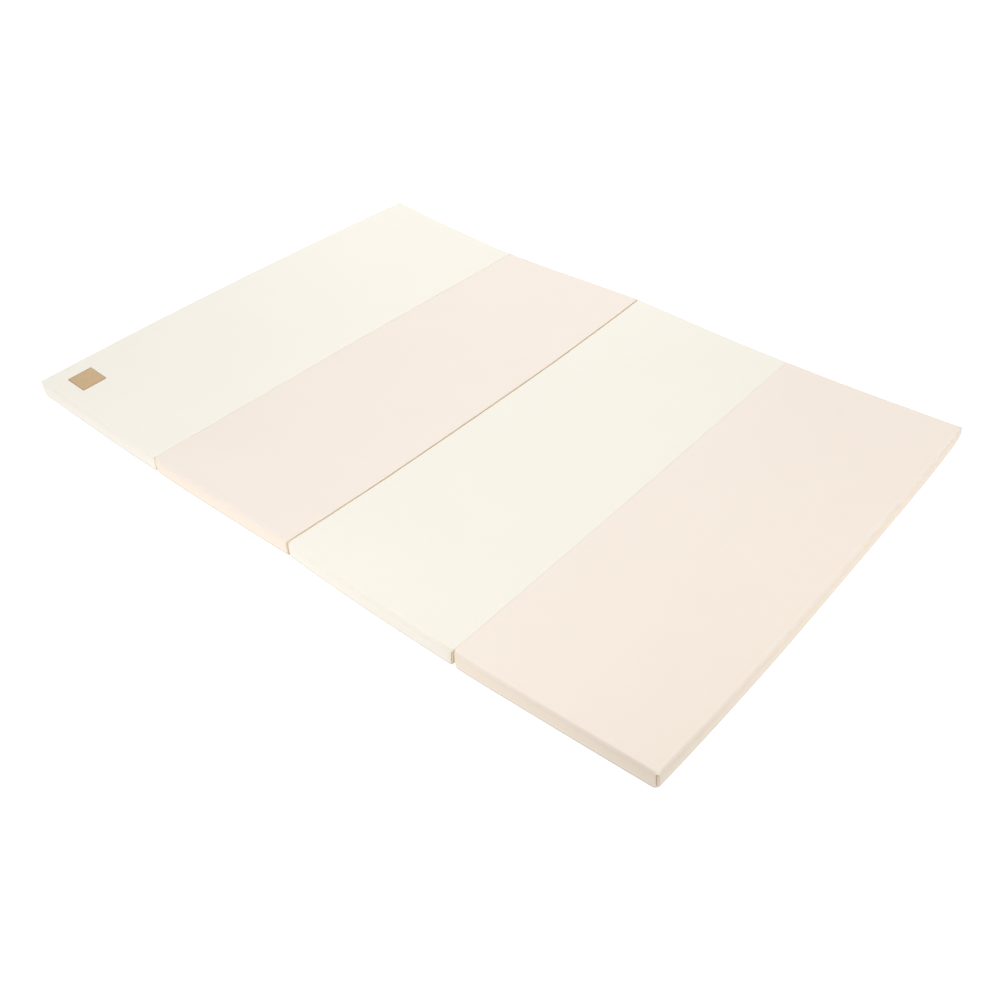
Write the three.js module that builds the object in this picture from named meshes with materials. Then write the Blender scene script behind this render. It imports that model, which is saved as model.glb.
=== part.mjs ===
// A four-panel folding play mat, opened out on the floor. Millimetres, +Z up.
//
// Each panel is a foam slab in a close-fitting cover of soft faux leather, ivory and pale pink in turn.
// The panels are joined edge to edge by thin webs of the same cover, so the mat folds up as a zigzag:
// the webs lie on top between panels 1 and 2 and between panels 3 and 4, and underneath between 2 and 3.
// A square leather patch sits near one corner of panel 1.
//
// The origin is on the floor under the middle of the mat. +X runs from panel 1 to panel 4,
// and +Y runs along the folds, from the near side to the far side.
import * as THREE from "three";
import { mergeVertices } from "three/addons/utils/BufferGeometryUtils.js";

// Main sizes
const PANEL_WIDTH = 500;
const PANEL_LENGTH = 1400;
const THICKNESS = 45;
const COVER = 1; // thickness of the cover where it crosses a fold
const CLEARANCE = 0.4; // between a panel and what lies on it

// The five lines across the mat. The near, middle and far columns say how high the slabs' stiffness would
// hold the underside there, and where that is below the floor the mat lies flat on it. The bow moves the
// middle of the line along +X. A fold has a web on its top or its foot, and between the panels a slit, so
// wide at the top and so wide at the foot.
const LINES = [
  { at: "outer edge of panel 1", near: 17, middle: 34, far: 31, bow: -1, web: "none", top: 0, foot: 0 },
  { at: "fold between 1 and 2", near: -1, middle: 5, far: -1, bow: 0, web: "top", top: 2.4, foot: 5 },
  { at: "fold between 2 and 3", near: 11, middle: 0, far: 17, bow: 2, web: "foot", top: 4, foot: 2.4 },
  { at: "fold between 3 and 4", near: -1, middle: -2, far: -1, bow: 3, web: "top", top: 2.4, foot: 4.5 },
  { at: "outer edge of panel 4", near: 31, middle: -2, far: 12, bow: 4.5, web: "none", top: 0, foot: 0 },
];
const CONTACT = 4; // the lift over which a panel peels away from the floor

// A panel sags by so much between its two lines, and its ends bow outward at the middle of its width.
const PANELS = [
  { name: "panel_1_ivory", cover: "ivory", sag: 2.5, endBow: 0 },
  { name: "panel_2_pink", cover: "pink", sag: 0.5, endBow: 1 },
  { name: "panel_3_ivory", cover: "ivory", sag: 2.5, endBow: 2 },
  { name: "panel_4_pink", cover: "pink", sag: 1, endBow: 0 },
];

// How a panel's edge is formed: a soft corner between the face and the side, so wide and so deep. Under a
// web the face also has a rebate that takes it. The steps say how far in from the side the mesh lines are.
const REBATE = { wide: 8.5, deep: COVER + CLEARANCE + 0.2 };
const EDGE_FORMS = {
  softTop: { wide: 10, deep: 8, steps: [12, 7.5, 4, 1.8, 0.5, 0] },
  softFoot: { wide: 5, deep: 4, steps: [12, 7.5, 4, 1.8, 0.5, 0] },
  slit: { wide: 6, deep: 5, steps: [12, 6, 3.5, 1.5, 0.4, 0] },
  web: { wide: 2.5, deep: 2.5, steps: [12, 8.6, 8.4, 2.5, 0.7, 0] },
};
// The form at a line's top and foot, by where the line has its web.
const FORM_AT = {
  top: { none: EDGE_FORMS.softTop, top: EDGE_FORMS.web, foot: EDGE_FORMS.slit },
  foot: { none: EDGE_FORMS.softFoot, top: EDGE_FORMS.softFoot, foot: EDGE_FORMS.web },
};
const CORNER_RADIUS = 12; // of a panel's outline, and the width of the border that the steps divide
const CROWN = 1.5; // rise of a panel's face towards its middle
const SIDE_BULGE = 1; // of a side wall at half its height

// Mesh divisions between the borders, and up a side wall
const ACROSS = 8;
const ALONG = 10;
const UP = 3;

const LABEL = { side: 73, corner: 3, thick: 0.9, fromOuterEdge: 90, fromNearEnd: 87.5 };

const COLOURS = {
  ivory: new THREE.MeshStandardMaterial({ color: 0xf8f4e8, roughness: 0.55, metalness: 0 }),
  pink: new THREE.MeshStandardMaterial({ color: 0xf7ebe1, roughness: 0.55, metalness: 0 }),
  label: new THREE.MeshStandardMaterial({ color: 0xc9a87c, roughness: 0.6, metalness: 0 }),
};

const { lerp, clamp } = THREE.MathUtils;

// The outer lines bow by different amounts, and this brings the mat's box back over the origin.
const CENTRING = -(LINES[0].bow + LINES[4].bow) / 2;

// A value along a fold that is given at its two ends and its middle. v runs from -1 to 1.
function alongFold(near, middle, far, v) {
  return middle * (1 - v * v) + (near * (v * v - v) + far * (v * v + v)) / 2;
}

// The flat part of the curve is where a panel lies on the floor.
function restOnFloor(lift) {
  if (lift <= 0) return 0;
  return lift < CONTACT ? (lift * lift) / (2 * CONTACT) : lift - CONTACT / 2;
}

function lineX(index, y) {
  const v = y / (PANEL_LENGTH / 2);
  return (index - 2) * PANEL_WIDTH + LINES[index].bow * (1 - v * v) + CENTRING;
}

// Height of the underside above the floor. t runs from 0 to 1 across the panel.
function panelLift(panel, t, y) {
  const v = clamp(y / (PANEL_LENGTH / 2), -1, 1);
  const [left, right] = [LINES[panel], LINES[panel + 1]].map((l) => alongFold(l.near, l.middle, l.far, v));
  return restOnFloor(lerp(left, right, t) - PANELS[panel].sag * 4 * t * (1 - t));
}

// Place across the mat as a share of a panel's width, from its left line.
function shareAcross(panel, x, y) {
  const left = lineX(panel, y);
  return (x - left) / (lineX(panel + 1, y) - left);
}

function crown(t, y) {
  const u = clamp(2 * t - 1, -1, 1);
  const v = clamp(y / (PANEL_LENGTH / 2), -1, 1);
  return CROWN * (1 - u ** 4) * (1 - v ** 4);
}

function softCorner(form, inset) {
  if (inset >= form.wide) return 0;
  const reach = 1 - inset / form.wide;
  return form.deep * (1 - Math.sqrt(1 - reach * reach));
}

// Where a mesh line falls: a step within the border at either end, or an even share of what lies between.
function lineAt(index, low, high, lowSteps, highSteps, divisions) {
  const border = lowSteps.length - 1;
  if (index < border) return { at: low, beyond: 1 - lowSteps[border - index] / CORNER_RADIUS, sign: -1 };
  if (index > border + divisions) {
    return { at: high, beyond: 1 - highSteps[index - border - divisions] / CORNER_RADIUS, sign: 1 };
  }
  return { at: lerp(low, high, (index - border) / divisions), beyond: 0, sign: 0 };
}

// One face of a panel, "top" or "foot", as a function from a mesh line each way to a point.
function faceOf(panel, face) {
  const [leftLine, rightLine] = [LINES[panel], LINES[panel + 1]];
  const [left, right, end] = [leftLine.web, rightLine.web, "none"].map((web) => FORM_AT[face][web]);
  const reachY = PANEL_LENGTH / 2 - CORNER_RADIUS;
  return (i, j) => {
    const along = lineAt(j, -reachY, reachY, end.steps, end.steps, ALONG);
    const low = lineX(panel, along.at) + leftLine[face] / 2 + CORNER_RADIUS;
    const high = lineX(panel + 1, along.at) - rightLine[face] / 2 - CORNER_RADIUS;
    const across = lineAt(i, low, high, left.steps, right.steps, ACROSS);
    // The square border at a corner is drawn onto a quarter of a disc, which rounds the outline.
    const a = across.beyond * Math.sqrt(1 - along.beyond ** 2 / 2);
    const b = along.beyond * Math.sqrt(1 - across.beyond ** 2 / 2);
    const x = across.at + across.sign * a * CORNER_RADIUS;
    const flatY = along.at + along.sign * b * CORNER_RADIUS;
    const t = clamp(shareAcross(panel, x, flatY), 0, 1);
    const y = flatY + along.sign * b * PANELS[panel].endBow * (1 - (2 * t - 1) ** 2);

    const reach = Math.min(Math.hypot(a, b), 1);
    const inset = CORNER_RADIUS * (1 - reach);
    const side = across.sign < 0 ? left : right;
    const sideShare = reach > 0 ? (a / reach) ** 2 : 0;
    const isRebated =
      side === EDGE_FORMS.web && across.sign !== 0 && CORNER_RADIUS * (1 - across.beyond) < REBATE.wide;
    const corner = lerp(softCorner(end, inset), softCorner(side, inset), sideShare);
    const drop = corner + (isRebated ? REBATE.deep : 0);
    const height = face === "top" ? THICKNESS + crown(t, flatY) - drop : drop;
    return new THREE.Vector3(x, y, panelLift(panel, t, flatY) + height);
  };
}

// A box with the panel's mesh lines, drawn onto the panel's two faces and the walls between them.
function panelGeometry(panel) {
  const border = EDGE_FORMS.softTop.steps.length - 1;
  const [linesX, linesY] = [ACROSS + 2 * border, ALONG + 2 * border];
  const box = new THREE.BoxGeometry(linesX, linesY, UP, linesX, linesY, UP);
  const [top, foot] = [faceOf(panel, "top"), faceOf(panel, "foot")];
  const points = box.getAttribute("position");
  for (let n = 0; n < points.count; n++) {
    const i = Math.round(points.getX(n) + linesX / 2);
    const j = Math.round(points.getY(n) + linesY / 2);
    const up = Math.round(points.getZ(n) + UP / 2) / UP;
    const place = new THREE.Vector3().lerpVectors(foot(i, j), top(i, j), up);
    const outward = new THREE.Vector3(
      i === 0 ? -1 : i === linesX ? 1 : 0,
      j === 0 ? -1 : j === linesY ? 1 : 0,
      0,
    ).normalize();
    place.addScaledVector(outward, SIDE_BULGE * Math.sin(Math.PI * up));
    points.setXYZ(n, place.x, place.y, place.z);
  }
  return closed(box);
}

// The strip of cover that joins two panels. It lies in their rebates, flush with their faces, and is
// pulled down a little along the fold. Offsets are from the fold, as shares of the strip's half width.
const WEB_HALF_WIDTH = REBATE.wide - CLEARANCE;
const WEB_SECTION = [
  { offset: -1, pull: 0 },
  { offset: -0.4, pull: 0.03 },
  { offset: -0.18, pull: 0.45 },
  { offset: 0, pull: 1 },
  { offset: 0.18, pull: 0.45 },
  { offset: 0.4, pull: 0.03 },
  { offset: 1, pull: 0 },
];
const WEB_PULL = 1.2;

function webGeometry(line) {
  const columns = WEB_SECTION.length - 1;
  const box = new THREE.BoxGeometry(columns, ALONG, 1, columns, ALONG, 1);
  const side = LINES[line].web;
  const halfSlit = LINES[line][side] / 2;
  const end = PANEL_LENGTH / 2 - CORNER_RADIUS;
  const inward = side === "top" ? -1 : 1;
  const outerFace = side === "top" ? THICKNESS : CLEARANCE / 2;
  const points = box.getAttribute("position");
  for (let n = 0; n < points.count; n++) {
    const { offset, pull } = WEB_SECTION[Math.round(points.getX(n) + columns / 2)];
    const y = (points.getY(n) / (ALONG / 2)) * end;
    const x = lineX(line, y) + offset * (halfSlit + WEB_HALF_WIDTH);
    const panel = offset < 0 ? line - 1 : line;
    const lift = panelLift(panel, shareAcross(panel, x, y), y);
    const isInner = points.getZ(n) * inward > 0;
    const depth = pull * WEB_PULL + (isInner ? COVER : 0);
    points.setXYZ(n, x, y, lift + outerFace + inward * depth);
  }
  return closed(box);
}

function roundedSquare(side, radius) {
  const [edge, start] = [side / 2, side / 2 - radius];
  const outline = new THREE.Shape();
  outline.absarc(start, start, radius, 0, Math.PI / 2);
  outline.absarc(-start, start, radius, Math.PI / 2, Math.PI);
  outline.absarc(-start, -start, radius, Math.PI, Math.PI * 1.5);
  outline.absarc(start, -start, radius, Math.PI * 1.5, Math.PI * 2);
  outline.lineTo(edge, start);
  return outline;
}

// The leather patch, laid on the face of panel 1.
function labelGeometry() {
  const { side, corner, thick, fromOuterEdge, fromNearEnd } = LABEL;
  const patch = new THREE.ExtrudeGeometry(roundedSquare(side, corner), {
    depth: thick,
    bevelEnabled: false,
    curveSegments: 4,
  });
  const middleX = lineX(0, -PANEL_LENGTH / 2) + fromOuterEdge;
  const middleY = -PANEL_LENGTH / 2 + fromNearEnd;
  const points = patch.getAttribute("position");
  for (let n = 0; n < points.count; n++) {
    const x = middleX + points.getX(n);
    const y = middleY + points.getY(n);
    const t = shareAcross(0, x, y);
    const face = THICKNESS + panelLift(0, t, y) + crown(t, y);
    points.setXYZ(n, x, y, face + CLEARANCE + points.getZ(n));
  }
  return closed(patch);
}

// Joins a geometry's separate sheets into one closed surface.
function closed(geometry) {
  geometry.deleteAttribute("normal");
  geometry.deleteAttribute("uv");
  const merged = mergeVertices(geometry, 1e-3);
  merged.computeVertexNormals();
  return merged;
}

function named(name, geometry, material) {
  const mesh = new THREE.Mesh(geometry, material);
  mesh.name = name;
  return mesh;
}

const mat = new THREE.Group();
PANELS.forEach((panel, index) => mat.add(named(panel.name, panelGeometry(index), COLOURS[panel.cover])));
mat.add(named("fold_web_1_2", webGeometry(1), COLOURS.ivory));
mat.add(named("fold_web_2_3", webGeometry(2), COLOURS.pink));
mat.add(named("fold_web_3_4", webGeometry(3), COLOURS.ivory));
mat.add(named("corner_label", labelGeometry(), COLOURS.label));

export default mat;
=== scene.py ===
"""Looks of the four-panel folding play mat: soft covers, fold webs, the leather patch, a floor and light.

Sizes are in millimetres, as in the solids, and become metres when a mesh is made. The mat lies with +X from
panel 1 to panel 4, +Y along the folds and +Z up.
"""
import math

import bpy
import numpy as np
from mathutils import Matrix, Vector, noise


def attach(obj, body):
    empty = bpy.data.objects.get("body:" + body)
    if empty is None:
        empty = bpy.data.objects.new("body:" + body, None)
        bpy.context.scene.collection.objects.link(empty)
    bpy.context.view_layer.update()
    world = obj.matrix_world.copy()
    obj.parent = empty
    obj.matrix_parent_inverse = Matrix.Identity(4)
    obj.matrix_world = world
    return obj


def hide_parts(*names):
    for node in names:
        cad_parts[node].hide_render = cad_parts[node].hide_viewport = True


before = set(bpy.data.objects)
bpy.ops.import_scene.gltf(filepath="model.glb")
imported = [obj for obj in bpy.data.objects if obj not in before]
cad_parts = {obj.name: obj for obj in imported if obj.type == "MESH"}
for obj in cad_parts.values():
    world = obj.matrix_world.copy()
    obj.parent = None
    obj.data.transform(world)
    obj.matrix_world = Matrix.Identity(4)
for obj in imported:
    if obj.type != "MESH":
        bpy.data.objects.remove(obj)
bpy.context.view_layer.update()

MM = 0.001

# The mat's own form. Each line across the mat has its lift above the floor at three places, the bow of its
# plan, how dark painted shade makes its open ends, the gap beside it at the panels' tops and feet, and the
# soft corner, as its width and depth, that the panels' faces turn with
PANEL_WIDTH = 500.0
PANEL_LENGTH = 1400.0
THICKNESS = 45.0
CORNER_RADIUS = 12.0
CROWN = 1.5
SIDE_BULGE = 1.0
CONTACT = 4.0
SOFT_TOP = (6.5, 8.0)
SOFT_FOOT = (4.0, 3.0)
SOFT_SLIT = (5.0, 4.0)
LINES = [
    {"near": 17, "middle": 34, "far": 31, "bow": -1, "dark": 0, "gap": {"top": 0, "foot": 0},
     "soft": {"top": SOFT_TOP, "foot": SOFT_FOOT}},
    {"near": -1, "middle": 5, "far": -1, "bow": 0, "dark": 0.33, "gap": {"top": 1.2, "foot": 4.4},
     "soft": {"top": (3.0, 1.5), "foot": SOFT_FOOT}},
    {"near": 11, "middle": 0, "far": 17, "bow": 3.5, "shift": -1.5, "dark": 0.6,
     "gap": {"top": 2.3, "foot": 2.0}, "soft": {"top": SOFT_SLIT, "foot": (3.0, 2.0)}},
    {"near": -1, "middle": -2, "far": -1, "bow": 3, "dark": 0.33, "gap": {"top": 0.8, "foot": 4.5},
     "soft": {"top": (1.5, 0.2), "foot": SOFT_FOOT}},
    {"near": 31, "middle": -2, "far": 12, "bow": 4.5, "dark": 0, "gap": {"top": 0, "foot": 0},
     "soft": {"top": SOFT_TOP, "foot": SOFT_FOOT}},
]
SOFT_END = {"top": SOFT_TOP, "foot": SOFT_FOOT}
CENTRING = -(LINES[0]["bow"] + LINES[4]["bow"]) / 2
# Corners count anticlockwise from the near left one. "round" is how round each of them is in plan, "side"
# how far the side band's tone differs from the top's, darker and warmer, partly the band's own tone and
# partly painted shade, and "welt_lean" how far a welt leans over its height
PANELS = [
    {"node": "panel_1_ivory", "slot": "ivory_cover", "sag": 2.5, "end_bow": 0, "ears": (0, 3), "welts": (),
     "round": {"top": (0.4, 0.25, 0.25, 0.4), "foot": (0.8, 0.5, 0.5, 1.0)}, "side": 1},
    {"node": "panel_2_pink", "slot": "pink_cover", "sag": 0.5, "end_bow": 1, "ears": (), "welts": (),
     "round": {"top": (0.25, 0.9, 0.5, 0.25), "foot": (0.5, 0.5, 0.6, 0.5)}, "side": 0.85},
    {"node": "panel_3_ivory", "slot": "ivory_cover", "sag": 2.5, "end_bow": 2, "ears": (), "welts": (1, 2),
     "round": {"top": (0.35, 0.5, 0.8, 0.5), "foot": (0.5, 0.3, 1.0, 0.6)},
     "side": 1, "welt_shift": 2.0, "welt_stretch": 1.7, "welt_lean": 0},
    {"node": "panel_4_pink", "slot": "pink_cover", "sag": 1, "end_bow": 0, "ears": (1, 2), "welts": (1, 2),
     "round": {"top": (0.8, 0.4, 0.3, 0.8), "foot": (1.0, 1.0, 0.3, 1.0)},
     "side": 1, "welt_shift": 2.0, "welt_stretch": 1, "welt_lean": 4.6},
]

# Mesh lines of a panel: how far in from its outline those of its border lie, and how many it has across,
# along and up its side
BORDER_STEPS = (
    12, 11, 10, 9, 8, 7, 6.2, 5.5, 4.9, 4.3, 3.7, 3.2, 2.7, 2.3, 1.9, 1.5, 1.1, 0.8, 0.5, 0.25, 0,
)
ACROSS = 70
ALONG = 175
UP = 36
# More lines round a mark of use, each way across a face, as shares of it
FINE = {"lines": 15, "across": 0.04, "along": 0.015}

# Seams: a groove round a panel where its top's soft corner ends and another over its foot, each with how
# strongly painted shade darkens the cover in it, the one over the foot a painted contact shadow, and at
# some upright corners a welt between two grooves, with painted shade spread round the welt and laid in its
# grooves
SEAM_TOP = {"below_corner": 0.5, "deep": 0.4, "wide": 0.9, "tint": 0.4}
SEAM_FOOT = {"above_corner": 1.0, "deep": 0.35, "wide": 1.0, "tint": 0.2}
WELT = {"at": 1.0, "high": 0.5, "wide": 1.5, "tint": 0.8, "tint_wide": 4.5}
WELT_GROOVES = (
    {"at": -1.2, "deep": 1.6, "wide": 0.6, "dark": 1.0},
    {"at": 3.4, "deep": 1.0, "wide": 0.6, "dark": 0.4},
)

# The cover's corner is drawn up into a small ear over an outer corner
EAR = {"high": 0.85, "wide": 7.0}
# The cover puckers in small waves beside its seams, and the foam under a top has low swells, which fade
# out towards its edge. Each panel's pattern starts this far from the last one's
PUCKER = {"high": 0.18, "per_metre": 45, "reach": 4}
SWELL = {"high": 0.35, "per_mm": 0.005, "fade": 6}
PATTERN_STEP = 7

# Inside a fold the cover is tinted with painted warm bounced light, from where its wall starts to face the
# fold. Painted shade makes it darker near the foot and at the fold's open ends
FOLD = {"tint": 0.9, "starts": 0.18, "over": 0.5}
FOLD_FOOT = {"tint": 1.0, "high": 6}
FOLD_END = {"from_middle": 688, "over": 8, "mouth": 0.45}

# A web bridges the gap between two panels, and its edges turn down between them: each row of its turn is a
# share of its half width and a depth under its edge
WEB = {"long": 1392.0, "thick": 0.2, "clear": 0.06, "ripple": 0.08, "ripples_per_mm": 0.06}
WEB_TURN = ((0.85, 0.0), (1.0, 0.25), (0.85, 1.3), (0.6, 3.0), (0.45, 5.0))
WEBS = (
    {"line": 1, "node": "fold_web_1_2", "slot": "ivory_cover",
     "side": "top", "edge": 1.2, "middle": 1.4, "shade": 0.4},
    {"line": 2, "node": "fold_web_2_3", "slot": "pink_cover",
     "side": "foot", "edge": 0.6, "middle": 1.0, "shade": 0.3},
    {"line": 3, "node": "fold_web_3_4", "slot": "ivory_cover",
     "side": "top", "edge": 0.08, "middle": 0.08, "shade": 0.0},
)

# Small marks of use on the tops: place, width and depth
MARKS = (
    {"panel": 3, "x": 737, "y": -489, "wide": 7.0, "deep": 0.9},
    {"panel": 3, "x": 772, "y": -582, "wide": 6.0, "deep": 0.35},
)

# The leather patch, the mesh lines of its border, and its edge, which is rounded and pressed thinner
LABEL = {"side": 73.0, "corner": 3.0, "thick": 0.9, "from_outer_edge": 90.0, "from_near_end": 87.5,
         "clear": 0.05, "lines": 31}
LABEL_STEPS = (3, 2.4, 1.9, 1.4, 1.0, 0.65, 0.35, 0.12, 0)
LABEL_EDGE = {"soft": (0.7, 0.4), "press": 0.12, "press_at": 1.6, "press_wide": 0.7, "burnt_wide": 1.5}


def along_fold(line, v):
    """A line's lift, where v goes from -1 at its near end to 1 at its far end."""
    near, middle, far = line["near"], line["middle"], line["far"]
    return middle * (1 - v * v) + (near * (v * v - v) + far * (v * v + v)) / 2


def rest_on_floor(lift):
    """A lift that stays at the floor below zero, and peels away from it smoothly."""
    peeling = lift * lift / (2 * CONTACT)
    return np.where(lift <= 0, 0, np.where(lift < CONTACT, peeling, lift - CONTACT / 2))


def line_x(index, y):
    """Where a line across the mat lies. The last one is nearly straight along its middle."""
    v = y / (PANEL_LENGTH / 2)
    power = 4 if index == len(LINES) - 1 else 2
    row = LINES[index]
    return (index - 2) * PANEL_WIDTH + row["bow"] * (1 - v**power) + row.get("shift", 0) + CENTRING


def share_across(panel, x, y):
    left = line_x(panel, y)
    return (x - left) / (line_x(panel + 1, y) - left)


def panel_lift(panel, t, y):
    v = np.clip(y / (PANEL_LENGTH / 2), -1, 1)
    left, right = along_fold(LINES[panel], v), along_fold(LINES[panel + 1], v)
    return rest_on_floor(left + (right - left) * t - PANELS[panel]["sag"] * 4 * t * (1 - t))


def crown(t, y):
    """How far a top stands up in its middle, over a firm slab."""
    u = np.clip(2 * t - 1, -1, 1)
    v = np.clip(y / (PANEL_LENGTH / 2), -1, 1)
    return CROWN * (1 - u**4) * (1 - v**4)


def soft_corner(form, inset):
    """How far a face drops as it turns into its side, a quarter of an ellipse."""
    wide, deep = form
    reach = np.clip(1 - inset / wide, 0, 1)
    return deep * (1 - np.sqrt(1 - reach * reach))


def smooth(x):
    x = np.clip(x, 0, 1)
    return x * x * (3 - 2 * x)


def bell(x, wide):
    return np.exp(-((x / wide) ** 2))


def mesh_lines(divisions, fine_at=(), fine_reach=0.0):
    """Mesh lines one way across a face: the share of the inner span, and how far into a border, -1 to 1."""
    beyond = 1 - np.array(BORDER_STEPS[1:]) / CORNER_RADIUS
    inner = np.linspace(0, 1, divisions + 1)
    for middle in fine_at:
        inner = np.concatenate([inner, middle + fine_reach * np.linspace(-1, 1, FINE["lines"])])
    inner = np.unique(np.round(inner, 4))
    share = np.concatenate([np.zeros(len(beyond)), inner, np.ones(len(beyond))])
    border = np.concatenate([-beyond[::-1], np.zeros(len(inner)), beyond])
    return share, border


def swell(panel, x, y):
    """How far a panel's top stands over its plain form: low waves in the foam, and marks of use."""
    pattern_x = x.ravel() * SWELL["per_mm"] + panel * PATTERN_STEP
    pattern_y = y.ravel() * SWELL["per_mm"]
    waves = [noise.noise(Vector((px, py, 0))) for px, py in zip(pattern_x, pattern_y)]
    height = SWELL["high"] * np.array(waves).reshape(x.shape)
    for mark in MARKS:
        if mark["panel"] == panel:
            height = height - mark["deep"] * bell(np.hypot(x - mark["x"], y - mark["y"]), mark["wide"])
    return height


def near_open_end(y):
    return smooth((np.abs(y) - FOLD_END["from_middle"]) / FOLD_END["over"])


def panel_face(panel, face):
    """A panel's top or foot: its points, their height over its foot, how far in they lie, and tints."""
    marks = [mark for mark in MARKS if mark["panel"] == panel]
    marks_x = [share_across(panel, mark["x"], mark["y"]) for mark in marks]
    marks_y = [0.5 + mark["y"] / PANEL_LENGTH for mark in marks]
    share_x, border_x = mesh_lines(ACROSS, marks_x, FINE["across"])
    share_y, border_y = mesh_lines(ALONG, marks_y, FINE["along"])
    share_x, border_x = share_x[:, None], border_x[:, None]
    share_y, border_y = share_y[None, :], border_y[None, :]
    left, right = LINES[panel], LINES[panel + 1]
    reach_y = PANEL_LENGTH / 2 - CORNER_RADIUS
    inner_y = -reach_y + share_y * 2 * reach_y
    low = line_x(panel, inner_y) + left["gap"][face] / 2 + CORNER_RADIUS
    high = line_x(panel + 1, inner_y) - right["gap"][face] / 2 - CORNER_RADIUS

    # A corner block goes from a square towards a disc
    on_left = border_x + 0 * border_y <= 0
    corner = np.where(border_y > 0, np.where(on_left, 3, 2), np.where(on_left, 0, 1))
    disc = np.take(PANELS[panel]["round"][face], corner)
    disc_a = border_x * np.sqrt(1 - border_y**2 / 2)
    disc_b = border_y * np.sqrt(1 - border_x**2 / 2)
    a = disc * disc_a + (1 - disc) * border_x
    b = disc * disc_b + (1 - disc) * border_y
    disc_reach = np.minimum(np.hypot(disc_a, disc_b), 1)
    square_reach = np.maximum(np.abs(border_x), np.abs(border_y))
    reach = disc * disc_reach + (1 - disc) * square_reach
    inset = CORNER_RADIUS * (1 - reach)
    x = low + share_x * (high - low) + a * CORNER_RADIUS
    flat_y = inner_y + b * CORNER_RADIUS
    t = np.clip(share_across(panel, x, flat_y), 0, 1)
    y = flat_y + b * PANELS[panel]["end_bow"] * (1 - (2 * t - 1) ** 2)

    # From 0 where a border point belongs to the near or far end, to 1 where it belongs to a long side
    beyond = np.hypot(a, b)
    side_share = np.divide(a, beyond, out=np.zeros_like(a), where=beyond > 0) ** 2
    at_left, at_right = (soft_corner(line["soft"][face], inset) for line in (left, right))
    at_side = np.where(on_left, at_left, at_right)
    drop = soft_corner(SOFT_END[face], inset) * (1 - side_share) + at_side * side_share
    lift = panel_lift(panel, t, flat_y)
    if face == "top":
        for ear in PANELS[panel]["ears"]:
            i, j = ((0, 0), (-1, 0), (-1, -1), (0, -1))[ear]
            drop = drop * (1 - EAR["high"] * bell(np.hypot(x - x[i, j], y - y[i, j]), EAR["wide"]))
        rise = crown(t, flat_y) + swell(panel, x, y) * smooth(inset / SWELL["fade"])
        height = THICKNESS + rise - drop
    else:
        height = drop
    # A soft corner turns from the face's cover to the side band's tone, which is partly painted shade, but
    # not in a fold
    outer = np.where(on_left, panel == 0, panel == len(PANELS) - 1)
    band = smooth((drop / SOFT_END[face][1] - 0.1) / 0.9) * (1 - side_share * (1 - outer))
    # Where a soft corner turns into a fold, it takes the painted warm bounced light
    fold = smooth(1.6 * drop / np.maximum(drop.max(), 1)) * side_share * (1 - outer) * FOLD["tint"]
    # Painted shade on the soft corner at a fold's open ends
    gap = fold * near_open_end(flat_y) * FOLD_END["mouth"]
    place = np.stack([x, y, lift + height], -1)
    return {"place": place, "height": height, "inset": inset, "band": band, "fold": fold, "gap": gap}


def ring(count_x, count_y):
    """The indices of a grid's outline, anticlockwise from above, and where in it the four corners are."""
    south = [(i, 0) for i in range(count_x - 1)]
    east = [(count_x - 1, j) for j in range(count_y - 1)]
    north = [(i, count_y - 1) for i in range(count_x - 1, 0, -1)]
    west = [(0, j) for j in range(count_y - 1, 0, -1)]
    corners = np.cumsum([0, len(south), len(east), len(north)])
    return np.array(south + east + north + west), corners


def from_corners(outline, corners):
    """Each outline point's signed distance along it from the nearest corner, and which corner that is."""
    steps = np.linalg.norm(np.roll(outline, -1, axis=0) - outline, axis=1)
    along = np.concatenate([[0], np.cumsum(steps)[:-1]])
    whole = steps.sum()
    away = along[None, :] - along[corners][:, None]
    away = (away + whole / 2) % whole - whole / 2
    nearest = np.abs(away).argmin(axis=0)
    return away[nearest, np.arange(len(along))], nearest


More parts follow.
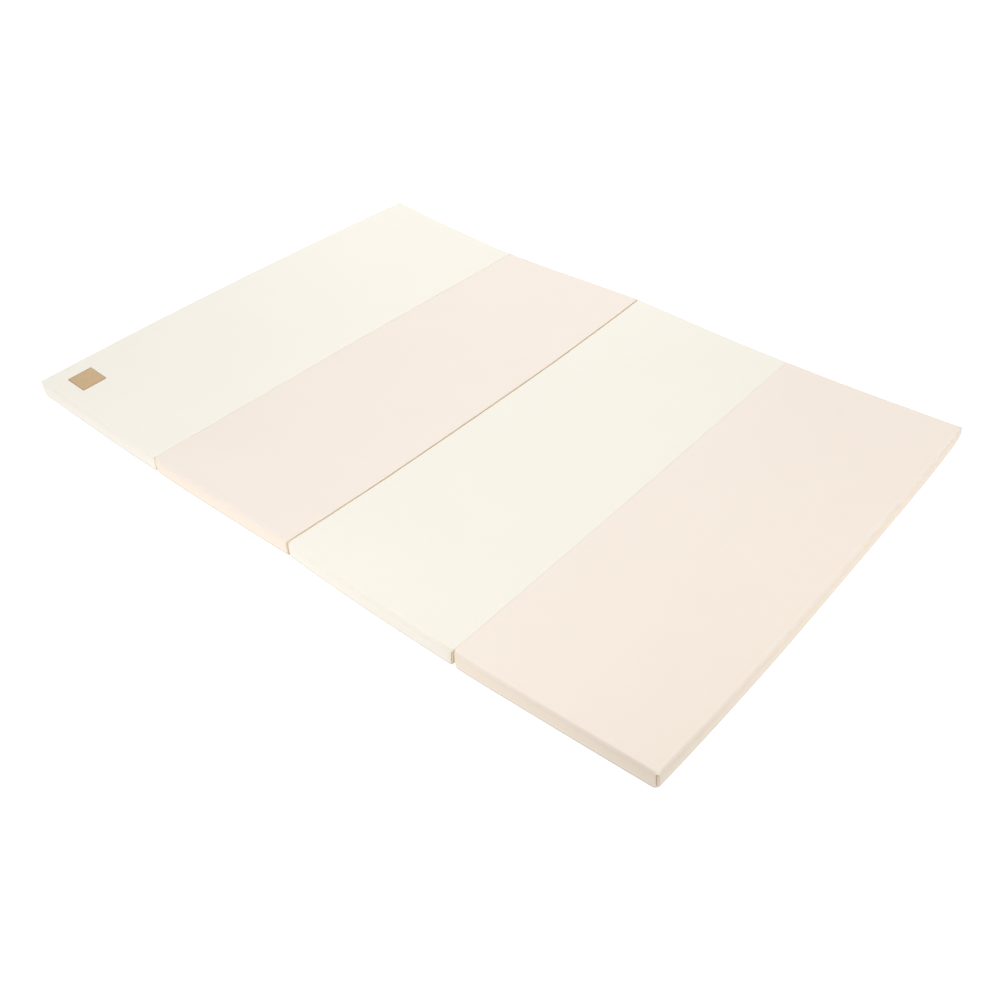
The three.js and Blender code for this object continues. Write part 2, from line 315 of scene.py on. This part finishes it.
def panel_wall(panel, top, foot):
    """The rows of points between the outlines of the two faces, from the lowest to the highest."""
    outline, corners = ring(*top["inset"].shape)
    at = (outline[:, 0], outline[:, 1])
    plan = top["place"][at][:, :2]
    tangent = np.roll(plan, -1, axis=0) - np.roll(plan, 1, axis=0)
    outward = np.stack([tangent[:, 1], -tangent[:, 0], 0 * tangent[:, 0]], -1)
    outward /= np.linalg.norm(outward, axis=1, keepdims=True)
    arc, corner = from_corners(plan, corners)
    in_fold = smooth((outward[:, 0] - FOLD["starts"]) / FOLD["over"]) * (panel < len(PANELS) - 1)
    in_fold = in_fold + smooth((-outward[:, 0] - FOLD["starts"]) / FOLD["over"]) * (panel > 0)
    dark = np.where(outward[:, 0] > 0, LINES[panel + 1]["dark"], LINES[panel]["dark"])
    at_end = near_open_end(plan[:, 1]) * dark
    has_welt = np.isin(corner, PANELS[panel]["welts"])
    # A welt's deeper groove is on the near or far side of its corner, not on the mat's long side
    arc = np.where(corner == 2, -arc, arc)
    row = PANELS[panel]

    # The rows lie closer together towards the top and the foot
    even = np.linspace(0, 1, UP + 1)
    rows = []
    for share in (1 - np.cos(math.pi * even)) / 4 + even / 2:
        place = foot["place"][at] * (1 - share) + top["place"][at] * share
        height = foot["height"][at] * (1 - share) + top["height"][at] * share
        over_foot = height - foot["height"][at]
        top_seam = bell(top["height"][at] - SEAM_TOP["below_corner"] - height, SEAM_TOP["wide"])
        foot_seam = bell(over_foot - SEAM_FOOT["above_corner"], SEAM_FOOT["wide"])
        bulge = SIDE_BULGE * math.sin(math.pi * share)
        out = bulge - SEAM_TOP["deep"] * top_seam - SEAM_FOOT["deep"] * foot_seam
        # The seams' grooves get painted shade, the one over the foot a painted contact shadow
        seam_shade = np.maximum(top_seam * SEAM_TOP["tint"], foot_seam * SEAM_FOOT["tint"])
        # Painted shade on a fold's wall, near its foot and at its open ends
        at_foot = smooth(1 - over_foot / FOLD_FOOT["high"]) * FOLD_FOOT["tint"]
        gap = in_fold * np.maximum(at_foot, at_end)
        # A welt fades out just over the foot and just under the top
        between = smooth(share * 5) * smooth((1 - share) * 25 + 0.5) * has_welt
        if row["welts"]:
            around = (arc + row["welt_lean"] * share - row["welt_shift"]) / row["welt_stretch"]
            out = out + WELT["high"] * bell(around - WELT["at"], WELT["wide"]) * between
            # Painted shade spread round a welted corner
            tint = WELT["tint"] * bell(around - WELT["at"], WELT["tint_wide"]) * between
            seam_shade = np.maximum(seam_shade, tint)
            # Painted shade laid in each groove beside a welt
            for groove in WELT_GROOVES:
                cut = bell(around - groove["at"], groove["wide"]) * between
                out = out - groove["deep"] * cut
                gap = np.maximum(gap, groove["dark"] * cut)
        rows.append({
            "place": place + outward * out[:, None],
            "seam_shade": seam_shade,
            "gap": gap,
            # Painted warm bounced light on a wall that faces a fold
            "fold": in_fold * FOLD["tint"],
            # A painted contact shadow along the lowest few millimetres over the foot
            "low": smooth(1.2 - over_foot / 2),
        })
    return outline, rows


def object_from(name, places, faces, attributes, material):
    mesh = bpy.data.meshes.new(name)
    mesh.from_pydata((places * MM).tolist(), [], faces)
    for label, values in attributes.items():
        attribute = mesh.attributes.new(label, "FLOAT", "POINT")
        attribute.data.foreach_set("value", np.asarray(values, np.float32))
    mesh.polygons.foreach_set("use_smooth", [True] * len(mesh.polygons))
    mesh.materials.append(material)
    mesh.update()
    made = bpy.data.objects.new(name, mesh)
    bpy.context.scene.collection.objects.link(made)
    return made


def grid_faces(index, flip):
    """Quads over a grid of vertex numbers."""
    a, b = index[:-1, :-1].ravel(), index[1:, :-1].ravel()
    c, d = index[1:, 1:].ravel(), index[:-1, 1:].ravel()
    quads = np.stack([a, d, c, b] if flip else [a, b, c, d], -1)
    return quads.tolist()


def closed_faces(top_index, foot_index, rows):
    """The faces of a top, a foot and a wall whose rows of vertex numbers go up from one to the other."""
    wall = np.array(rows)
    wall = np.concatenate([wall, wall[:, :1]], axis=1)
    return grid_faces(top_index, False) + grid_faces(foot_index, True) + grid_faces(wall, True)


def make_panel(panel, material):
    top, foot = panel_face(panel, "top"), panel_face(panel, "foot")
    outline, rows = panel_wall(panel, top, foot)
    at = (outline[:, 0], outline[:, 1])
    top_index = np.arange(top["inset"].size).reshape(top["inset"].shape)
    foot_index = top_index + top_index.size
    around = len(outline)
    wall = 2 * top_index.size + np.arange(around * (len(rows) - 2)).reshape(-1, around)
    faces = closed_faces(top_index, foot_index, [foot_index[at], *wall, top_index[at]])
    inner_rows = rows[1:-1]
    inner = np.ones(len(inner_rows) * around)
    blank = np.zeros(top_index.shape)

    def stacked(label, on_top, on_foot):
        on_wall = [inner_row[label] for inner_row in inner_rows]
        return np.concatenate([on_top.ravel(), on_foot.ravel(), *on_wall])

    on_faces = [face["place"].reshape(-1, 3) for face in (top, foot)]
    places = np.concatenate(on_faces + [inner_row["place"] for inner_row in inner_rows])
    attributes = {
        "seam_shade": stacked("seam_shade", blank, blank),
        "gap": stacked("gap", top["gap"], foot["gap"]),
        "fold": stacked("fold", top["fold"], foot["fold"]),
        # The foot's soft corner gets the painted contact shadow too
        "low": stacked("low", blank, foot["band"]),
        "side": PANELS[panel]["side"] * np.concatenate([top["band"].ravel(), foot["band"].ravel(), inner]),
    }
    near_edge = bell(top["inset"].ravel() - PUCKER["reach"], PUCKER["reach"])
    pucker = np.concatenate([near_edge, 0 * near_edge, inner])
    name = PANELS[panel]["node"].replace("panel", "cover")
    made = object_from(name, places, faces, attributes, material)
    pucker_seams(made, panel, pucker)
    return made


def pucker_seams(piece, panel, share):
    """The cover's small waves beside its seams."""
    mesh = piece.data
    places, normals = np.zeros(len(share) * 3), np.zeros(len(share) * 3)
    mesh.vertices.foreach_get("co", places)
    mesh.vertices.foreach_get("normal", normals)
    places, normals = places.reshape(-1, 3), normals.reshape(-1, 3)
    pattern = places * PUCKER["per_metre"] + (0, panel * PATTERN_STEP, 3)
    waves = np.array([noise.noise(Vector(p)) if s > 0.01 else 0 for p, s in zip(pattern, share)])
    places += normals * (PUCKER["high"] * waves * share * MM)[:, None]
    mesh.vertices.foreach_set("co", places.ravel())
    mesh.update()


def web_section(row):
    """Half offsets and depths across a web: over the crease, and down between the panels on both sides."""
    half = LINES[row["line"]]["gap"][row["side"]] / 2 - WEB["clear"]
    edge, middle = row["edge"], row["middle"]
    right = [(0.5 * half, (edge + middle) / 2)] + [(share * half, edge + deep) for share, deep in WEB_TURN]
    left = [(-x, depth) for x, depth in reversed(right)]
    return np.array([*left, (0, middle), *right])


def make_web(row, material):
    """The strip of cover that joins two panels over their fold, with its edges turned down between them."""
    line = row["line"]
    section = web_section(row)
    steps = np.gradient(section, axis=0)
    inward = np.stack([-steps[:, 1], steps[:, 0]], -1)
    inward /= np.linalg.norm(inward, axis=1, keepdims=True)
    y = np.linspace(-WEB["long"] / 2, WEB["long"] / 2, ALONG * 2 + 1)[None, :]
    ripple = np.array([noise.noise(Vector((0, py * WEB["ripples_per_mm"], line))) for py in y[0]])
    up = row["side"] == "top"
    surfaces = []
    for layer in (section, section + inward * WEB["thick"]):
        offset, depth = layer[:, :1], layer[:, 1:] + WEB["ripple"] * ripple[None, :]
        x = line_x(line, y) + (offset if up else -offset)
        z = panel_lift(line, 0 * x, y + 0 * x) + (THICKNESS - depth if up else depth)
        surfaces.append(np.stack([x, y + 0 * x, z], -1))
    shape = surfaces[0].shape[:2]
    outer_index = np.arange(shape[0] * shape[1]).reshape(shape)
    inner_index = outer_index + outer_index.size
    outline, _ = ring(*shape)
    at = (outline[:, 0], outline[:, 1])
    faces = closed_faces(outer_index, inner_index, [inner_index[at], outer_index[at]])
    places = np.concatenate([surface.reshape(-1, 3) for surface in surfaces])
    # Painted shade darkens the crease towards its middle, and the edges where they turn down
    aside = np.abs(section[:, 0])
    deep = smooth((section[:, 1] - row["edge"]) / 1.5)
    shade = np.maximum(row["shade"] * (1 - aside / aside.max()), deep)
    attributes = {label: np.zeros(len(places)) for label in ("gap", "fold", "side", "low")}
    attributes["seam_shade"] = np.tile(shade[:, None] + 0 * outer_index, (2, 1)).ravel()
    return object_from(row["node"].replace("fold_web", "web"), places, faces, attributes, material)


def make_label(material):
    """The square leather patch, with soft corners and a rounded cut edge, lying on panel 1."""
    half = LABEL["side"] / 2
    beyond = 1 - np.array(LABEL_STEPS[1:]) / LABEL["corner"]
    inner = np.linspace(-1, 1, LABEL["lines"])
    share = np.concatenate([-np.ones(len(beyond)), inner, np.ones(len(beyond))])
    border = np.concatenate([-beyond[::-1], np.zeros(len(inner)), beyond])
    border_x, border_y = border[:, None], border[None, :]
    a = border_x * np.sqrt(1 - border_y**2 / 2)
    b = border_y * np.sqrt(1 - border_x**2 / 2)
    middle_y = -PANEL_LENGTH / 2 + LABEL["from_near_end"]
    middle_x = line_x(0, middle_y) + LABEL["from_outer_edge"]
    x = middle_x + share[:, None] * (half - LABEL["corner"]) + a * LABEL["corner"]
    y = middle_y + share[None, :] * (half - LABEL["corner"]) + b * LABEL["corner"]
    inset = LABEL["corner"] * (1 - np.minimum(np.hypot(a, b), 1))
    t = share_across(0, x, y)
    under = panel_lift(0, t, y) + THICKNESS + crown(t, y) + swell(0, x, y) + LABEL["clear"]
    press = LABEL_EDGE["press"] * bell(inset - LABEL_EDGE["press_at"], LABEL_EDGE["press_wide"])
    over = under + LABEL["thick"] - soft_corner(LABEL_EDGE["soft"], inset) - press
    top_index = np.arange(x.size).reshape(x.shape)
    foot_index = top_index + x.size
    outline, _ = ring(*x.shape)
    at = (outline[:, 0], outline[:, 1])
    faces = closed_faces(top_index, foot_index, [foot_index[at], top_index[at]])
    places = np.concatenate([np.stack([x, y, z], -1).reshape(-1, 3) for z in (over, under)])
    edge = np.tile(bell(inset.ravel(), LABEL_EDGE["burnt_wide"]), 2)
    return object_from("patch_leather", places, faces, {"edge": edge}, material)


class Finish:
    """A new material, with short ways to add the nodes that the covers and the leather have in common."""

    def __init__(self, name, specular):
        self.material = bpy.data.materials.new(name)
        self.material.use_nodes = True
        self.nodes, self.links = self.material.node_tree.nodes, self.material.node_tree.links
        self.shader = self.nodes["Principled BSDF"]
        self.shader.inputs["Specular IOR Level"].default_value = specular
        self.place = self.nodes.new("ShaderNodeTexCoord").outputs["Object"]

    def give(self, value, socket):
        self.links.new(value, self.shader.inputs[socket])

    def texture(self, kind, scale, detail=2.0):
        node = self.nodes.new(kind)
        node.inputs["Scale"].default_value = scale
        if "Detail" in node.inputs:
            node.inputs["Detail"].default_value = detail
        self.links.new(self.place, node.inputs["Vector"])
        return node

    def attribute(self, label):
        node = self.nodes.new("ShaderNodeAttribute")
        node.attribute_name = label
        return node.outputs["Fac"]

    def mixed(self, factor, first, second):
        node = self.nodes.new("ShaderNodeMix")
        node.data_type = "RGBA"
        self.links.new(factor, node.inputs["Factor"])
        for socket, value in ((node.inputs["A"], first), (node.inputs["B"], second)):
            if isinstance(value, tuple):
                socket.default_value = (*value, 1)
            else:
                self.links.new(value, socket)
        return node.outputs["Result"]

    def scaled(self, value, low, high):
        node = self.nodes.new("ShaderNodeMapRange")
        node.inputs["To Min"].default_value = low
        node.inputs["To Max"].default_value = high
        self.links.new(value, node.inputs["Value"])
        return node.outputs["Result"]

    def bump(self, height, strength, distance, under=None):
        node = self.nodes.new("ShaderNodeBump")
        node.inputs["Strength"].default_value = strength
        node.inputs["Distance"].default_value = distance
        self.links.new(height, node.inputs["Height"])
        if under is not None:
            self.links.new(under, node.inputs["Normal"])
        return node.outputs["Normal"]


def tinted(colour, by):
    return tuple(channel * share for channel, share in zip(colour, by))


def cover_material(name, colour, side_colour):
    """Soft matt faux leather: faint blotches, a pebbled grain, and tones for its sides, seams and folds:
    the side tone partly its own and partly painted shade, painted shade in seams, creases, grooves and deep
    in folds, painted warm bounced light on fold walls, and a painted contact shadow over the foot.
    """
    finish = Finish(name, 0.35)
    finish.shader.inputs["Sheen Weight"].default_value = 0.05

    blotches = finish.texture("ShaderNodeTexNoise", 6.0, 3.0)
    blotch_share = finish.scaled(blotches.outputs["Fac"], 0.0, 0.6)
    tone = finish.mixed(blotch_share, colour, tinted(colour, (0.975, 0.965, 0.955)))
    for label, label_colour in (
        # partly the side band's own tone, partly painted shade
        ("side", side_colour),
        # painted shade in seams, creases and round welted corners
        ("seam_shade", tinted(side_colour, (0.86, 0.8, 0.72))),
        # a painted contact shadow at the foot
        ("low", tinted(side_colour, (0.68, 0.74, 0.78))),
        # painted warm bounced light on fold walls
        ("fold", (0.93, 0.79, 0.55)),
        # painted shade deep in folds, at their open ends and in grooves
        ("gap", tinted(side_colour, (0.5, 0.4, 0.3))),
    ):
        tone = finish.mixed(finish.attribute(label), tone, label_colour)
    finish.give(tone, "Base Color")

    rough = finish.texture("ShaderNodeTexNoise", 40.0, 3.0)
    finish.give(finish.scaled(rough.outputs["Fac"], 0.5, 0.64), "Roughness")

    pebbles = finish.texture("ShaderNodeTexVoronoi", 620.0)
    pebbles.feature = "SMOOTH_F1"
    fine = finish.texture("ShaderNodeTexNoise", 1500.0)
    grain = finish.bump(pebbles.outputs["Distance"], 0.22, 0.0003)
    finish.give(finish.bump(fine.outputs["Fac"], 0.12, 0.0002, grain), "Normal")
    return finish.material


def leather_material():
    """Tan leather with a fine grain, soft blotches and burnished edges."""
    finish = Finish("tan_label", 0.4)
    blotches = finish.texture("ShaderNodeTexNoise", 90.0, 4.0)
    tone = finish.mixed(blotches.outputs["Fac"], (0.62, 0.445, 0.26), (0.54, 0.37, 0.205))
    tone = finish.mixed(finish.attribute("edge"), tone, (0.30, 0.185, 0.095))
    finish.give(tone, "Base Color")
    rough = finish.texture("ShaderNodeTexNoise", 300.0, 3.0)
    finish.give(finish.scaled(rough.outputs["Fac"], 0.45, 0.62), "Roughness")
    grain = finish.texture("ShaderNodeTexVoronoi", 900.0)
    finish.give(finish.bump(grain.outputs["Distance"], 0.35, 0.0003), "Normal")
    return finish.material


# Soft lamps: place, what each is aimed at, its width and its power in watts. The low ones would mirror in
# the tops when they are seen from behind, so only the overhead one adds a gloss
LAMPS = (
    {"name": "key_overhead", "place": (-1.39, 1.92, 4.01), "aim": (0.2, -0.68, 0), "size": 1.6,
     "power": 131, "colour": (1, 1, 1), "gloss": True},
    {"name": "front_left", "place": (0.69, -2.56, 0.95), "aim": (-2.5, -2.5, 0), "size": 1.6,
     "power": 45.5, "colour": (0.975, 0.97, 1.0), "gloss": False},
    {"name": "front_fill", "place": (1.11, -1.18, 1.76), "aim": (2.43, -0.99, 0), "size": 1.6,
     "power": 9.3, "colour": (1, 0.94, 0.80), "gloss": False},
    {"name": "right", "place": (2.77, -0.49, 0.96), "aim": (2.5, 2.49, 0), "size": 1.6,
     "power": 28.5, "colour": (1, 0.965, 0.92), "gloss": False},
)
# How bright the surroundings are at the horizon and overhead, and the heights between which they fade
SKY = {"horizon": 1.05, "overhead": 0.36, "from_height": 0.10, "to_height": 0.35}


# The floor, in metres: how far it reaches, and how far it lies under the mat
FLOOR = {"reach": 12.0, "below": -0.0006}


def make_floor():
    reach, below = FLOOR["reach"], FLOOR["below"]
    corners = [(x * reach, y * reach, below) for x, y in ((-1, -1), (1, -1), (1, 1), (-1, 1))]
    mesh = bpy.data.meshes.new("floor")
    mesh.from_pydata(corners, [], [(0, 1, 2, 3)])
    floor = bpy.data.objects.new("floor", mesh)
    bpy.context.scene.collection.objects.link(floor)
    material = bpy.data.materials.new("floor")
    material.use_nodes = True
    shader = material.node_tree.nodes["Principled BSDF"]
    for socket, value in (
        ("Base Color", (0.3, 0.3, 0.3, 1)),
        ("Roughness", 0.9),
        ("Specular IOR Level", 0.1),
        ("Emission Color", (1, 1, 1, 1)),
        ("Emission Strength", 0.85),
    ):
        shader.inputs[socket].default_value = value
    mesh.materials.append(material)


def make_lights():
    world = bpy.context.scene.world or bpy.data.worlds.new("world")
    bpy.context.scene.world = world
    world.use_nodes = True
    nodes, links = world.node_tree.nodes, world.node_tree.links
    background = nodes["Background"]
    background.inputs["Color"].default_value = (1, 1, 1, 1)
    direction = nodes.new("ShaderNodeTexCoord")
    split = nodes.new("ShaderNodeSeparateXYZ")
    fade = nodes.new("ShaderNodeMapRange")
    fade.interpolation_type = "SMOOTHSTEP"
    fade.inputs["From Min"].default_value = SKY["from_height"]
    fade.inputs["From Max"].default_value = SKY["to_height"]
    fade.inputs["To Min"].default_value = SKY["horizon"]
    fade.inputs["To Max"].default_value = SKY["overhead"]
    links.new(direction.outputs["Generated"], split.inputs["Vector"])
    links.new(split.outputs["Z"], fade.inputs["Value"])
    links.new(fade.outputs["Result"], background.inputs["Strength"])

    for row in LAMPS:
        light = bpy.data.lights.new(row["name"], "AREA")
        light.shape = "DISK"
        light.size = row["size"]
        light.energy = row["power"]
        light.color = row["colour"]
        lamp = bpy.data.objects.new(row["name"], light)
        lamp.location = row["place"]
        beam = Vector(row["aim"]) - Vector(row["place"])
        lamp.rotation_euler = beam.to_track_quat("-Z", "Y").to_euler()
        lamp.visible_camera = False
        lamp.visible_glossy = row["gloss"]
        bpy.context.scene.collection.objects.link(lamp)


# The photograph's camera, from a fit to the mat's outline: focal length as a share of the picture's width
CAMERA = {
    "place": (1.5271, -1.7648, 1.7050),
    "heading": -40.134,
    "down": 40.375,
    "roll": -0.220,
    "focal_share": 1079.9 / 1001,
}


def make_camera():
    heading, down, roll = (math.radians(CAMERA[key]) for key in ("heading", "down", "roll"))
    ahead = math.cos(down)
    forward = Vector((math.sin(heading) * ahead, math.cos(heading) * ahead, -math.sin(down)))
    level = Vector((math.cos(heading), -math.sin(heading), 0))
    upright = level.cross(forward)
    right = level * math.cos(roll) + upright * math.sin(roll)
    top = upright * math.cos(roll) - level * math.sin(roll)
    data = bpy.data.cameras.new("camera")
    data.sensor_width = 36
    data.sensor_fit = "HORIZONTAL"
    data.lens = 36 * CAMERA["focal_share"]
    camera = bpy.data.objects.new("camera", data)
    turn = Matrix((right, top, -forward)).transposed().to_4x4()
    camera.matrix_world = Matrix.Translation(CAMERA["place"]) @ turn
    bpy.context.scene.collection.objects.link(camera)
    bpy.context.scene.camera = camera


make_camera()
make_floor()
make_lights()
bpy.context.scene.view_settings.view_transform = "Standard"

covers = {
    "ivory_cover": cover_material("ivory_cover", (0.875, 0.842, 0.757), (0.795, 0.75, 0.67)),
    "pink_cover": cover_material("pink_cover", (0.868, 0.782, 0.705), (0.795, 0.695, 0.585)),
}


def stands_for(piece, node):
    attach(piece, "root")
    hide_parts(node)


for number, row in enumerate(PANELS):
    cover = make_panel(number, covers[row["slot"]])
    stands_for(cover, row["node"])

for row in WEBS:
    web = make_web(row, covers[row["slot"]])
    stands_for(web, row["node"])

label = make_label(leather_material())
stands_for(label, "corner_label")
